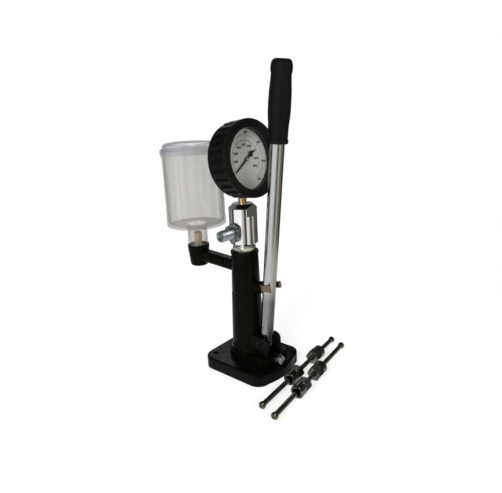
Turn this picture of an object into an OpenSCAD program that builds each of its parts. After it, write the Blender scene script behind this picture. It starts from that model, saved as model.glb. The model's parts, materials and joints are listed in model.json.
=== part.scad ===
// Hand-pumped diesel injector tester with a pressure gauge, a fuel cup and two test pipes.
// Origin: on the resting face, at the middle of the four bolt holes.
// X points to the operator's right, -Y towards the operator and Z up. Millimetres.

/* [Base] */
// Width of the base plate
base_w = 117; // [114:1:130]
// From the column's axis to the back edge of the base
base_back = 58.5; // [56:0.5:70]
// From the column's axis to the front corners of the base
base_front = 72.5; // [70:0.5:82]
// How far the front edge bows out past its corners
base_bow = 6.5; // [3:0.5:10]
// Thickness of the base plate
base_t = 20.5; // [18:0.5:24]
// Radius of the base plate's corners
base_corner = 21; // [16:1:24]
// Rounding of the base plate's top edge
base_round = 3; // [1:0.5:5]
// Diameter of the four bolt holes
bolt_hole_d = 9; // [7:0.5:11]
// Bolt spacing from left to right
bolt_dx = 81; // [74:1:84]
// Bolt spacing from front to back
bolt_dy = 95; // [90:1:98]
// How far the column's axis stands behind the middle of the bolts
column_y = 4.5; // [3:0.5:6]

/* [Column] */
// Radius that the column would have at the floor
column_r0 = 29; // [28.5:0.25:31]
// Radius of the column at its top
column_r1 = 23; // [22.5:0.25:24.5]
// Height of the column's top face
column_top = 208; // [206:1:216]
// Height of the ledge round the column
ledge_z = 133; // [124:1:138]
// How far the column steps in above the ledge
ledge_step = 0.5; // [0.2:0.1:0.8]
// Height of the raised foot round the column
foot_top = 32; // [29:1:36]
// Radius of the foot round the column
foot_r = 33; // [32:0.5:37]
// Half width of the foot in front of the column
foot_half_w = 30; // [27:1:33]

/* [Clevis] */
// Gap between the two ears
clevis_gap = 24.4; // [24:0.2:27]
// Thickness of an ear
ear_t = 6.3; // [5:0.1:9]
// Height of the ears
ear_top = 64.5; // [62:0.5:70]
// From the column's axis to the front of the ears
ear_front = 57; // [55:0.5:60]
// Radius of the ears' front top corner
ear_round = 11; // [8:0.5:13]
// Height of the pivot pin
pivot_z = 50; // [48:0.5:52]
// From the column's axis to the pivot pin
pivot_front = 40; // [39.5:0.5:41]
// Diameter of the pivot pin
pin_d = 10; // [8:0.5:11]
// Height of the stop screw's axis
stop_z = 24; // [22:0.5:26]
// From the column's axis to the seat of the stop screw's washer
web_front = 64; // [62:0.5:67]
// Thread diameter of the stop screw
stop_d = 10; // [8:0.5:12]
// Size across the flats of the stop screw's head
stop_af = 14.5; // [14:0.5:17]

/* [Pump] */
// Bore that guides the tappet
tappet_bore_d = 30; // [29:0.5:31]
// Height of the tappet
tappet_h = 30; // [24:1:34]
// Height of the barrel's lower face
barrel_z = 118; // [112:1:124]
// Diameter of the barrel in the column
barrel_d = 26; // [25:0.5:28]
// Diameter of the barrel's threaded neck
neck_d = 33; // [32:0.5:35]
// Length of the threaded neck inside the column
neck_grip = 18; // [14:1:22]
// Diameter of the plunger
plunger_d = 10; // [8:0.5:11]
// Height of the plunger's top at rest
plunger_top = 180; // [172:1:182]
// Wire of the plunger spring
spring_wire = 2.6; // [2:0.2:3]
// Mean diameter of the plunger spring
spring_d = 20; // [18.5:0.5:20.5]
// Turns of the plunger spring
spring_turns = 7; // [4:1:8]

/* [Head] */
// From the column's top up to the lock nut
nut_up = 2; // [1:0.5:5]
// Height of the lock nut
nut_h = 5.5; // [4:0.5:7]
// Size across the flats of the lock nut
nut_af = 36; // [35:0.5:40]
// From the column's top up to the head
head_up = 10.5; // [9.5:0.5:14]
// Height of the pump head
head_h = 68.5; // [64:0.5:74]
// Diameter of the pump head
head_d = 46.2; // [44:0.2:50]
// Bevel at the top of the head
head_bevel = 7; // [4:0.5:8]
// Bevel at the bottom of the head
head_foot = 3.5; // [2:0.5:5]
// Size across the spanner flats of the head
head_af = 38.4; // [36:0.2:42]
// Height of the spanner flats
head_flat_h = 19; // [14:1:24]
// Height of the outlet's axis
outlet_z = 242.5; // [240:0.5:246]
// Size across the flats of the outlet union's collar
union_af = 27; // [24:1:30]
// Length of the outlet union's collar
union_hex_l = 8; // [5:0.5:10]
// Thread diameter of the outlet union
union_d = 18; // [16:1:20]
// Length of the outlet union's thread
union_l = 26; // [20:1:32]

/* [Gauge] */
// From the column's top up to the gauge's centre
gauge_up = 147.5; // [146:0.5:156]
// How far the gauge is turned about the stem
gauge_turn = -4.1; // [-8:0.1:8]
// How far the dial leans back, to face the operator's eyes
gauge_lean = 7.3; // [0:0.1:9]
// Outer diameter of the gauge case
case_d = 101; // [98:0.5:106]
// Thickness of the rubber boot round the case, over its ribs
boot_wall = 10.1; // [9:0.1:12]
// From the stem's axis to the front of the boot
boot_front = 28.6; // [27:0.1:34]
// From the stem's axis to the back of the boot
boot_back = 13.1; // [12:0.1:16]
// Ribs round the boot
boot_ribs = 28; // [20:1:36]
// Depth of the boot's ribs
rib_depth = 3.6; // [1:0.2:4.4]
// Diameter of the boot's mouth in front of the dial
mouth_d = 95.2; // [92:0.2:96]
// Length of the pointer from its hub to its tip
pointer_l = 34; // [28:1:38]
// Where the pointer rests, anticlockwise from three o'clock
pointer_zero = 216; // [205:1:225]
// Diameter of the brass stem
stem_d = 13.4; // [12:0.2:16]

/* [Fuel cup] */
// From the column's axis to the cup's axis
cup_y = 110.5; // [108:0.5:120]
// Outer diameter of the cup
cup_d = 104; // [96:1:106]
// Height of the cup's bottom
cup_z = 238.5; // [236:0.5:244]
// Height of the cup without its neck and lid
cup_h = 132; // [110:1:140]
// Wall of the cup
cup_wall = 2.4; // [1.8:0.2:3.2]
// Diameter of the cup's neck
cup_neck_d = 35.4; // [32:0.2:37]
// Height of the lid from its skirt to the top of its dome
lid_h = 19.8; // [18:0.2:26]
// Height of the socket that carries the cup
socket_top = 201.5; // [199:0.5:206]
// Diameter of the socket at its top
socket_d1 = 38.8; // [36:0.2:42]
// Diameter of the socket at its bottom
socket_d0 = 32.4; // [28:0.5:34]
// Length of the socket
socket_l = 39; // [34:1:44]
// Width of the arm between the column and the socket
arm_w = 21; // [16:1:26]
// Height of the arm
arm_h = 20; // [16:1:24]

/* [Handle] */
// Lean of the handle from upright, towards the operator
handle_lean = 5.7; // [4:0.1:6]
// Outer diameter of the handle tube
tube_d = 22; // [20:0.5:22.5]
// Wall of the handle tube
tube_wall = 2.5; // [2:0.25:3.5]
// From the pivot to the top of the tube
tube_l = 440; // [380:5:460]
// Length of the grip
grip_l = 115; // [100:1:130]
// From the top of the tube to the tip of the grip
grip_over = 8.6; // [8:0.1:20]
// From the pivot to the contact with the tappet
nose_l = 32; // [31:0.5:33]
// Thickness of the lever's nose and heel
nose_w = 10; // [8:0.5:11]

/* [Clip] */
// Height of the middle of the handle clip
clip_z = 153; // [148:1:156]
// Length of the clip's arms past the tube's axis
clip_arm = 10.5; // [4:0.5:12]
// Tilt of the clip's band from square across the tube
clip_tilt = 16.5; // [0:0.5:20]
// Height of the clip's band
clip_h = 11; // [9:0.5:15]
// Thickness of the clip's band
clip_t = 1.2; // [0.8:0.1:1.6]
// Room behind the tube, for the clip screw's head
clip_reach = 4; // [2.2:0.2:5]

/* [Test pipes] */
// Length of a test pipe with its two cones
pipe_l = 239; // [220:1:260]
// Outer diameter of a test pipe
pipe_d = 8; // [6:0.5:9]
// Diameter of a pipe's cone end
cone_d = 11.4; // [10:0.2:13]
// Size across the flats of a union nut
pipe_nut_af = 21; // [18:0.5:22]
// Diameter of a union nut's round collar
collar_d = 22; // [20:0.5:24]
// Length of a union nut
pipe_nut_l = 30; // [24:1:34]

/* [Hidden] */
$fn = 48;
eps = 0.01;
// Clearance of a running fit, on the radius
run = 0.05;
// Clearance of a fixed fit, on the radius
fit = 0.02;
// Gap between pieces that move past each other
gap = 0.3;

// Places
module at_column() { translate([0, column_y, 0]) children(); }
module at_cup() { translate([0, column_y + cup_y, 0]) children(); }
module at_pivot() { translate([0, column_y - pivot_front, pivot_z]) children(); }
module at_handle() { at_pivot() rotate([handle_lean, 0, 0]) children(); }
module at_gauge() {
  at_column() translate([0, 0, gauge_z]) rotate([0, 0, gauge_turn]) rotate([90 - gauge_lean, 0, 0])
    children();
}
module along_x() { rotate([0, 90, 0]) children(); }
module along_y() { rotate([-90, 0, 0]) children(); }

// Shapes used more than once
module tube(h, r_out, r_in) {
  difference() {
    cylinder(h = h, r = r_out);
    translate([0, 0, -eps]) cylinder(h = h + 2 * eps, r = r_in);
  }
}
module hexagon(h, af) { cylinder(h = h, r = af / sqrt(3), $fn = 6); }
module bevelled(h, r, low, high) {
  rotate_extrude() polygon([
    [0, 0], [r - low, 0], [r, low], [r, h - high], [r - high, h], [0, h]
  ]);
}
// A hexagon whose corners are turned off at both ends
module turned_hex(h, af) {
  intersection() {
    hexagon(h, af);
    bevelled(h, af / sqrt(3), af * 0.06, af * 0.06);
  }
}

// A wound spring: one unbroken tube with straight ends
SPRING_RINGS = 8;
SPRING_SIDES = 6;
function helix_point(r, h, turns, t) = [
  r * cos(360 * turns * t), r * sin(360 * turns * t), h * t
];
function helix_points(r, h, turns) = [
  for (i = [0 : SPRING_RINGS * turns]) helix_point(r, h, turns, i / (SPRING_RINGS * turns))
];
function helix_frame(r, h, turns, i) = let (
  a = 360 * i / SPRING_RINGS,
  radial = [cos(a), sin(a), 0],
  climb = h / turns / (2 * PI * r),
  along = [-sin(a), cos(a), climb] / norm([1, climb])
) [radial, cross(along, radial)];
function ring(p, f, r) = [
  for (k = [0 : SPRING_SIDES - 1])
    p + r * (cos(360 * k / SPRING_SIDES) * f[0] + sin(360 * k / SPRING_SIDES) * f[1])
];
function least_gap(p, wire) = min([
  for (i = [0 : len(p) - 1]) for (j = [i + SPRING_RINGS - 2 : len(p) - 1])
    if (j < len(p)) norm(p[i] - p[j]) - wire
]);
module spring(wire, mean_d, h, turns, name) {
  r = mean_d / 2;
  p = helix_points(r, h, turns);
  echo(str(name, " least gap to itself, mm: "), least_gap(p, wire));
  n = len(p);
  points = [for (i = [0 : n - 1]) each ring(p[i], helix_frame(r, h, turns, i), wire / 2)];
  last = n - 1;
  faces = [
    for (k = [1 : SPRING_SIDES - 2]) [0, k, k + 1],
    for (i = [0 : last - 1]) for (k = [0 : SPRING_SIDES - 1]) let (m = (k + 1) % SPRING_SIDES)
      each [
        [i * SPRING_SIDES + k, (i + 1) * SPRING_SIDES + k, (i + 1) * SPRING_SIDES + m],
        [i * SPRING_SIDES + k, (i + 1) * SPRING_SIDES + m, i * SPRING_SIDES + m]
      ],
    for (k = [1 : SPRING_SIDES - 2])
      [last * SPRING_SIDES, last * SPRING_SIDES + k + 1, last * SPRING_SIDES + k]
  ];
  polyhedron(points = points, faces = faces);
}

// Base plate outline: straight back and sides, bowed front, round corners
module base_outline() {
  half = base_w / 2;
  inner = half - base_corner;
  bow_r = (pow(inner, 2) + pow(base_bow, 2)) / (2 * base_bow);
  for (s = [-1, 1]) {
    translate([s * inner, base_back - base_corner]) circle(r = base_corner);
    translate([s * inner, base_corner - base_front]) circle(r = base_corner);
  }
  translate([-inner, -base_front]) square([2 * inner, base_front + base_back]);
  translate([-half, base_corner - base_front])
    square([base_w, base_front + base_back - 2 * base_corner]);
  intersection() {
    translate([0, bow_r - base_front - base_bow]) circle(r = bow_r, $fn = 96);
    translate([-inner, -base_front - base_bow]) square([2 * inner, base_bow + base_corner]);
  }
}
ear_in = clevis_gap / 2;
ear_out = ear_in + ear_t;
// Floor of the pocket between the ears
base_floor = 13;
column_slope = (column_r0 - column_r1) / column_top;
column_r_ledge = column_r0 - column_slope * ledge_z;
// The column's top is a raised collar with a small bevel
collar_h = 4;
collar_out = 0.5;
barrel_neck_z = column_top - neck_grip;
nut_z = column_top + nut_up;
head_z = column_top + head_up;
gauge_z = column_top + gauge_up;
grip_end = tube_l + grip_over;
duct_d = 5;
duct_z = plunger_top + 3;
plug_d = 34;
plug_h = 9;
plug_z = 1.5;
plug_step = 2;
plug_washer_t = 1.5;
clip_boss_d = 20;
clip_boss_drop = 1.5;
clip_screw_d = 5;
socket_bore_d = 27;
socket_bore_l = 17;
// The arm climbs to the socket, and its middle stands below the duct
arm_rise = 6.2;
arm_drop = 6;
arm_r = 6;
arm_end = 8;
web_back = ear_front;
web_top = 34;
pocket_back = 20;
pocket_over = 2;
// Notch in the base's top, in front of the web, with room for a socket on the stop screw
notch_l = 30;
notch_room = 2.7;
slot_side = 0.7;
slot_w = nose_w + 2 * slot_side;
stem_bore_l = 24;
past = 1;

module column_shape() {
  rotate_extrude($fn = 96) polygon([
    [0, 0], [column_r0, 0], [column_r_ledge, ledge_z],
    [column_r_ledge - ledge_step, ledge_z + 2 * ledge_step],
    [column_r1 - ledge_step, column_top - collar_h - collar_out],
    [column_r1 + collar_out, column_top - collar_h], [column_r1 + collar_out, column_top - 2 * collar_out],
    [column_r1 - collar_out, column_top], [0, column_top]
  ]);
}
// Flared skirt where the column meets the foot
skirt_h = 8;
skirt_in = 1;
module skirt() {
  rotate_extrude($fn = 72) difference() {
    translate([0, foot_top - eps]) square([foot_r, skirt_h]);
    translate([foot_r, foot_top + skirt_h]) scale([foot_r - column_r0 + skirt_in, skirt_h])
      circle(r = 1, $fn = 24);
  }
}
foot_front_r = 9;
foot_bevel = 2;
module foot_shape() {
  hull() {
    cylinder(h = foot_top - foot_bevel, r = foot_r, $fn = 32);
    cylinder(h = foot_top, r = foot_r - foot_bevel, $fn = 32);
    for (s = [-1, 1]) translate([s * (foot_half_w - foot_front_r), foot_front_r - web_front, 0]) {
      cylinder(h = foot_top - foot_bevel, r = foot_front_r, $fn = 32);
      cylinder(h = foot_top, r = foot_front_r - foot_bevel, $fn = 32);
    }
  }
}
// The ears run back into the column, lower and upper part
ear_back_low = 10;
ear_back_high = 14;
module ear_outline() {
  translate([-ear_front, 0]) square([ear_front - ear_back_low, ear_top - ear_round]);
  translate([ear_round - ear_front, 0]) square([ear_front - ear_round - ear_back_high, ear_top]);
  translate([ear_round - ear_front, ear_top - ear_round]) circle(r = ear_round);
}
module ears() {
  for (s = [-ear_out, ear_in]) translate([s, 0, 0])
    rotate([90, 0, 90]) linear_extrude(ear_t) ear_outline();
}
module arm_end_at(y, z) {
  for (x = [-1, 1]) for (up = [-1, 1])
    translate([x * (arm_w / 2 - arm_r), y, z + up * (arm_h / 2 - arm_r)])
      along_y() cylinder(h = arm_end, r = arm_r, $fn = 32);
}
module arm_shape() {
  hull() {
    arm_end_at(0, duct_z - arm_drop);
    arm_end_at(cup_y - arm_end, duct_z - arm_drop + arm_rise);
  }
}
socket_edge = 4;
socket_bevel = 0.8;
module socket_shape() {
  low = socket_d0 / 2;
  high = socket_d1 / 2;
  translate([0, cup_y, socket_top - socket_l]) rotate_extrude($fn = 64) polygon([
    [0, 0], [low - socket_edge, 0], [low - socket_edge * 0.3, socket_edge * 0.3], [low, socket_edge],
    [high, socket_l - socket_edge], [high, socket_l - socket_bevel], [high - socket_bevel, socket_l],
    [0, socket_l]
  ]);
}
module body_casting() {
  color("#141615") at_column() difference() {
    union() {
      linear_extrude(base_t - base_round) base_outline();
      // The top edge is rounded in two slopes
      translate([0, 0, base_t - base_round - eps]) hull() {
        linear_extrude(eps) base_outline();
        linear_extrude(base_round * 0.6) offset(delta = -base_round * 0.25) base_outline();
        linear_extrude(base_round + eps) offset(delta = -base_round) base_outline();
      }
      foot_shape();
      skirt();
      column_shape();
      ears();
      translate([-ear_out, -web_front, 0]) cube([2 * ear_out, web_front - web_back + eps, web_top]);
      arm_shape();
      socket_shape();
      at_clip() translate([0, clip_seat, -clip_boss_drop])
        along_y() cylinder(h = tube_y_at_clip - clip_seat - column_r1 / 2, r = clip_boss_d / 2);
    }
    // Bolt holes
    for (x = [-1, 1]) for (y = [-1, 1])
      translate([x * bolt_dx / 2, y * bolt_dy / 2 - column_y, -past])
        cylinder(h = base_t + 2 * past, r = bolt_hole_d / 2);
    // Pump bore, from the bottom plug up to the barrel's neck
    translate([0, 0, -past]) cylinder(h = plug_z + plug_h + past, r = plug_d / 2 + fit);
    cylinder(h = barrel_z, r = tappet_bore_d / 2);
    cylinder(h = column_top + past, r = barrel_d / 2 + fit);
    translate([0, 0, barrel_neck_z]) cylinder(h = neck_grip + past, r = neck_d / 2 + fit);
    // Room for the handle between the ears, and the slot for its nose
    translate([-ear_in, -web_back, base_floor])
      cube([clevis_gap, web_back - pocket_back, pivot_z - base_floor + pocket_over]);
    translate([-ear_in, -web_back, base_floor]) cube([clevis_gap, web_back - column_r0, ear_top]);
    translate([-slot_w / 2, -column_r0 - past, base_floor])
      cube([slot_w, column_r0, nose_top + slot_side - base_floor]);
    // Pivot pin
    translate([-ear_out - past, -pivot_front, pivot_z])
      along_x() cylinder(h = 2 * (ear_out + past), r = pin_d / 2 + fit);
    // Stop screw, and the notch for its head in the top of the base
    translate([0, -web_front - notch_l, stop_z])
      along_y() cylinder(h = notch_l, r = stop_af / 2 + notch_room);
    translate([0, -web_front - past, stop_z])
      along_y() cylinder(h = web_front - web_back + 2 * past, r = stop_d / 2 + fit);
    // Clip screw
    at_clip() translate([0, clip_seat - past, -clip_boss_drop])
      along_y() cylinder(h = clip_screw_l + past, r = clip_screw_d / 2 + fit);
    // Socket bore, the duct down from it and the duct through the arm
    translate([0, cup_y, socket_top - socket_bore_l])
      cylinder(h = socket_bore_l + past, r = socket_bore_d / 2 + fit);
    translate([0, cup_y, duct_z - duct_d / 2 + eps])
      cylinder(h = socket_top - duct_z, r = duct_d / 2);
    translate([0, 0, duct_z]) along_y() cylinder(h = cup_y, r = duct_d / 2);
  }
}
plug_hex = 14;
plug_spigot_r = tappet_bore_d / 2 - plug_step;
module bottom_plug() {
  color("#8f9496") at_column() difference() {
    union() {
      translate([0, 0, plug_z]) cylinder(h = plug_h - plug_washer_t, r = plug_d / 2);
      cylinder(h = plug_z + plug_h, r = plug_spigot_r);
    }
    translate([0, 0, -past]) hexagon(plug_h - 2 * past, plug_hex);
  }
}
module bottom_plug_washer() {
  color("#b36b3d") at_column() translate([0, 0, plug_z + plug_h - plug_washer_t])
    tube(plug_washer_t, plug_d / 2, plug_spigot_r + fit);
}
pin_over = 3.4;
pin_bevel = 0.8;
ring_t = 1;
ring_w = 2.4;
ring_mouth = 3.2;
groove_d = 0.7;
ring_play = 0.1;
module at_rings() {
  for (s = [-1, 1]) translate([0, 0, s * (ear_out + ring_t / 2 + ring_play) - ring_t / 2]) children();
}
module pivot_pin() {
  half = ear_out + pin_over;
  color("#26282a") at_pivot() along_x() difference() {
    translate([0, 0, -half]) bevelled(2 * half, pin_d / 2, pin_bevel, pin_bevel);
    at_rings() tube(ring_t, pin_d, pin_d / 2 - groove_d);
  }
}
module pin_rings() {
  color("#2b2d2f") at_pivot() along_x() at_rings() translate([0, 0, fit]) difference() {
    tube(ring_t - 2 * fit, pin_d / 2 + ring_w, pin_d / 2 - groove_d + fit);
    translate([0, -ring_mouth / 2, -past]) cube([pin_d, ring_mouth, ring_t + 2 * past]);
  }
}
washer_t = 2;
washer_rim = 1.8;
stop_head_h = 7;
stop_point = 1;
heel_y = nose_w * 0.6;
heel_z = 26;
heel_below = 3;
// The heel's front is wider below the tube
heel_w = 15;
// The heel leans with the handle, so the top of the screw's end meets it first
stop_tip = pivot_front + heel_y * cos(handle_lean)
  - (pivot_z - stop_z - stop_d / 2 + stop_point) * sin(handle_lean) + gap / 2;
module stop_screw() {
  color("#b9c3cc") at_column() translate([0, -web_front - washer_t, stop_z]) {
    along_y() bevelled(web_front + washer_t - stop_tip, stop_d / 2, 0, stop_point);
    rotate([90, 0, 0]) turned_hex(stop_head_h, stop_af);
  }
}
module stop_washer() {
  color("#aab4bd") at_column() translate([0, -web_front - washer_t, stop_z])
    along_y() tube(washer_t, stop_af / 2 + washer_rim, stop_d / 2 + fit);
}

// Spring clip: a band bent round the back of the tube, open towards the operator.
// Its frame stands at the tube's axis, and the band rises towards the operator.
tube_y_at_clip = pivot_front + (clip_z - pivot_z) * tan(handle_lean);
clip_in = tube_d / 2 + gap;
clip_out = clip_in + clip_t;
clip_seat = clip_in + clip_t + clip_reach;
clip_lip_r = 2.6;
clip_screw_l = 9;
clip_head_h = 1.8;
clip_head_r = clip_screw_d * 0.9;
clip_head_bevel = 0.6;
clip_slot_w = 1;
clip_slot_d = 0.7;
module at_clip() {
  translate([0, -tube_y_at_clip, clip_z]) rotate([handle_lean - clip_tilt, 0, 0]) children();
}
// The band is round at the back, and flat where its screw holds it
module clip_profile() {
  flat = 2 * clip_head_r + 2 * gap;
  difference() {
    union() {
      translate([0, clip_reach]) circle(r = clip_out, $fn = 64);
      translate([-clip_out, -clip_arm]) square([2 * clip_out, clip_arm + clip_reach]);
      translate([-flat / 2 - clip_t, clip_reach]) square([flat + 2 * clip_t, clip_out]);
    }
    translate([0, clip_reach]) circle(r = clip_in, $fn = 64);
    translate([-clip_in, -clip_arm - past]) square([2 * clip_in, clip_arm + past + clip_reach]);
    translate([-flat / 2, 0]) square([flat, clip_reach + clip_in]);
  }
  for (s = [0, 1]) mirror([s, 0]) translate([clip_in + clip_lip_r, -clip_arm]) difference() {
    circle(r = clip_lip_r, $fn = 32);
    circle(r = clip_lip_r - clip_t, $fn = 32);
    translate([-clip_lip_r, 0]) square([2 * clip_lip_r, clip_lip_r]);
  }
}
module handle_clip() {
  color("#6e5138") at_column() at_clip() difference() {
    translate([0, 0, -clip_h / 2]) linear_extrude(clip_h) clip_profile();
    translate([0, 0, -clip_boss_drop])
      along_y() cylinder(h = clip_seat + past, r = clip_screw_d / 2 + fit);
  }
}
module clip_screw() {
  color("#9a9c98") at_column() at_clip() translate([0, clip_seat - clip_t, -clip_boss_drop]) {
    along_y() cylinder(h = clip_screw_l + clip_t, r = clip_screw_d / 2);
    rotate([90, 0, 0]) difference() {
      bevelled(clip_head_h, clip_head_r, 0, clip_head_bevel);
      translate([-clip_screw_d, -clip_slot_w / 2, clip_head_h - clip_slot_d])
        cube([2 * clip_screw_d, clip_slot_w, clip_slot_d + past]);
    }
  }
}

// Pump barrel with its ports, and the delivery valve above the plunger
chamber_l = 20;
chamber_z = plunger_top + chamber_l;
valve_z = column_top - 1;
valve_bore_d = 13;
barrel_over = 17.5;
barrel_top = head_z + barrel_over;
port_r = 1.5;
gallery_d = 1.5;
seal_w = 2.5;
seal_z = (barrel_z + duct_z) / 2;
module pump_barrel() {
  color("#8d8f92") at_column() difference() {
    union() {
      translate([0, 0, barrel_z]) cylinder(h = barrel_neck_z - barrel_z + past, r = barrel_d / 2);
      translate([0, 0, barrel_neck_z]) cylinder(h = barrel_top - barrel_neck_z, r = neck_d / 2);
    }
    translate([0, 0, barrel_z - past])
      cylinder(h = chamber_z - barrel_z + past, r = plunger_d / 2 + run);
    translate([0, 0, chamber_z - past]) cylinder(h = valve_z - chamber_z + 2 * past, r = port_r);
    translate([0, 0, valve_z]) cylinder(h = barrel_top - valve_z + past, r = valve_bore_d / 2);
    // Groove of the seal, gallery of the fuel, and the feed port just above the resting plunger
    translate([0, 0, seal_z]) tube(seal_w, barrel_d, barrel_d / 2 - seal_w);
    translate([0, 0, duct_z - duct_d / 2]) tube(duct_d, barrel_d, barrel_d / 2 - gallery_d);
    translate([0, 0, duct_z]) along_y() cylinder(h = barrel_d, r = port_r);
  }
}
module barrel_seal() {
  color("#1c1c1c") at_column() translate([0, 0, seal_z + fit])
    tube(seal_w - 2 * fit, barrel_d / 2, barrel_d / 2 - seal_w + fit);
}

// The nose pushes the tappet with its round tip, from below to above the pivot's height
nose_dip = 15;
nose_r = 5;
tip_drop = nose_l * tan(nose_dip);
nose_top = pivot_z + tip_drop + nose_r;
tappet_z = pivot_z - tip_drop + nose_r + gap;
tappet_cup = 13;
tappet_rim = 2.6;
tappet_bevel = 1;
foot_h = 4;
foot_rim = 2.5;
foot_play = 0.4;
seat_t = 2.5;
seat_rim = 2.4;
lower_seat_z = tappet_z + tappet_h - tappet_cup;
module tappet() {
  color("#9b9ea1") at_column() translate([0, 0, tappet_z]) difference() {
    bevelled(tappet_h, tappet_bore_d / 2 - run, tappet_bevel, tappet_bevel / 2);
    translate([0, 0, tappet_h - tappet_cup]) cylinder(h = tappet_cup + past, r = spring_d / 2 + tappet_rim);
    translate([0, 0, tappet_h - tappet_cup - foot_h])
      cylinder(h = foot_h + past, r = plunger_d / 2 + foot_rim);
  }
}
module plunger() {
  foot_z = lower_seat_z - foot_h;
  color("#c9ccce") at_column() translate([0, 0, foot_z]) {
    cylinder(h = plunger_top - foot_z, r = plunger_d / 2);
    cylinder(h = foot_h - foot_play, r = plunger_d / 2 + foot_rim - run);
  }
}
module lower_spring_seat() {
  color("#7d8083") at_column() translate([0, 0, lower_seat_z])
    tube(seat_t, spring_d / 2 + seat_rim, plunger_d / 2 + run);
}
module upper_spring_seat() {
  color("#7d8083") at_column() translate([0, 0, barrel_z - seat_t])
    tube(seat_t, spring_d / 2 + seat_rim, plunger_d / 2 + gap);
}
module plunger_spring() {
  low = lower_seat_z + seat_t + spring_wire / 2;
  high = barrel_z - seat_t - spring_wire / 2;
  color("#5c6166") at_column() translate([0, 0, low])
    spring(spring_wire, spring_d, high - low, spring_turns, "plunger spring");
}

module lock_nut() {
  color("#c3c5b4") at_column() translate([0, 0, nut_z]) rotate([0, 0, 30]) difference() {
    turned_hex(nut_h, nut_af);
    translate([0, 0, -past]) cylinder(h = nut_h + 2 * past, r = neck_d / 2 + fit);
  }
}
head_bore_d = 8;
head_top = head_z + head_h;
spot_d = 3;
union_seat = head_d / 2 - spot_d;
union_bore_d = 12;
union_spigot = 9;
outlet_r = 2;
module from_left(l, r) { translate([-head_d, 0, outlet_z]) along_x() cylinder(h = head_d - l, r = r); }
module pump_head() {
  color("#c4c6c8") at_column() difference() {
    intersection() {
      translate([0, 0, head_z]) rotate_extrude($fn = 96) polygon([
        [0, 0], [head_d / 2 - head_foot, 0], [head_d / 2, head_foot],
        [head_d / 2, head_h - head_bevel], [head_d / 2 - head_bevel, head_h], [0, head_h]
      ]);
      // Spanner flats in front and behind
      union() {
        translate([-head_d, -head_d, head_z]) cube([2 * head_d, 2 * head_d, head_h - head_flat_h]);
        translate([-head_d, -head_af / 2, head_z]) cube([2 * head_d, head_af, head_h + past]);
      }
    }
    translate([0, 0, head_z - past]) cylinder(h = barrel_top - head_z + past, r = neck_d / 2 + fit);
    translate([0, 0, barrel_top - past]) cylinder(h = head_top - barrel_top, r = head_bore_d / 2);
    translate([0, 0, head_top - stem_bore_l]) cylinder(h = stem_bore_l + past, r = stem_d / 2 + fit);
    // Side outlet with its spot face
    from_left(union_seat, union_af / sqrt(3) + gap);
    from_left(union_seat - union_spigot, union_bore_d / 2 + fit);
    from_left(0, outlet_r);
  }
}
valve_seat_h = 8;
ball_d = 6;
valve_cap_h = 5;
ball_seat_r = 2;
ball_seat_w = 0.5;
module valve_seat() {
  color("#a9a08a") at_column() translate([0, 0, valve_z + fit]) difference() {
    cylinder(h = valve_seat_h - fit, r = valve_bore_d / 2 - fit);
    translate([0, 0, -past]) cylinder(h = valve_seat_h + 2 * past, r = port_r);
    translate([0, 0, valve_seat_h - fit - 2 * ball_seat_w])
      cylinder(h = 2 * ball_seat_w + eps, r1 = ball_seat_r - ball_seat_w, r2 = ball_seat_r + ball_seat_w);
  }
}
// The ball stands half a gap off its 45 degree seat
ball_z = valve_z + valve_seat_h - ball_seat_r - ball_seat_w + sqrt(2) * (ball_d / 2 + gap / 2);
module valve_ball() {
  color("#d5d7d9") at_column() translate([0, 0, ball_z]) sphere(r = ball_d / 2, $fn = 32);
}
valve_wire = 0.9;
valve_spring_d = 5;
valve_turns = 5;
valve_play = 0.1;
module valve_spring() {
  low = ball_z + ball_d / 2 + valve_wire / 2 + valve_play;
  high = barrel_top - valve_cap_h - valve_wire / 2 - valve_play;
  color("#5c6166") at_column() translate([0, 0, low])
    spring(valve_wire, valve_spring_d, high - low, valve_turns, "valve spring");
}
module valve_cap() {
  color("#8d8f92") at_column() translate([0, 0, barrel_top - valve_cap_h])
    tube(valve_cap_h, valve_bore_d / 2 - fit, outlet_r);
}
washer_cu_t = 2;
union_neck = 2;
union_relief = 0.8;
union_end_bevel = 1.2;
union_cone_l = 6;
union_cone_r = 5.5;
module outlet_union() {
  hex_x = union_seat + washer_cu_t;
  bore_from = -union_spigot - washer_cu_t;
  color("#a7adab") at_column() translate([-hex_x, 0, outlet_z]) rotate([0, -90, 0]) difference() {
    union() {
      rotate([0, 0, 30]) turned_hex(union_hex_l, union_af);
      cylinder(h = union_hex_l + union_l, r = union_d / 2 - union_relief);
      translate([0, 0, union_hex_l + union_neck])
        bevelled(union_l - union_neck, union_d / 2, union_relief, union_end_bevel);
      translate([0, 0, bore_from + past]) cylinder(h = -bore_from, r = union_bore_d / 2);
    }
    translate([0, 0, bore_from]) cylinder(h = union_hex_l + union_l - bore_from + past, r = outlet_r);
    translate([0, 0, union_hex_l + union_l - union_cone_l])
      cylinder(h = union_cone_l + eps, r1 = outlet_r, r2 = union_cone_r);
  }
}
module outlet_washer() {
  color("#9c5a34") at_column() translate([-union_seat, 0, outlet_z]) rotate([0, -90, 0])
    tube(washer_cu_t, union_af / 2 - union_neck, union_bore_d / 2 + fit);
}

// Gauge: local x to the right, y up and z towards the operator
case_r = case_d / 2;
case_wall = 3;
boot_back_wall = 3.4;
case_back = boot_back_wall - boot_back;
case_floor = case_back + case_wall;
lip_l = 3.6;
bezel_front = boot_front - lip_l;
bezel_t = 4;
glass_z = bezel_front - bezel_t;
glass_t = 2.8;
glass_play = 0.1;
glass_r = case_r - 1.5;
dial_gap = 9;
dial_t = 0.8;
dial_z = glass_z - dial_gap - dial_t;
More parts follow.
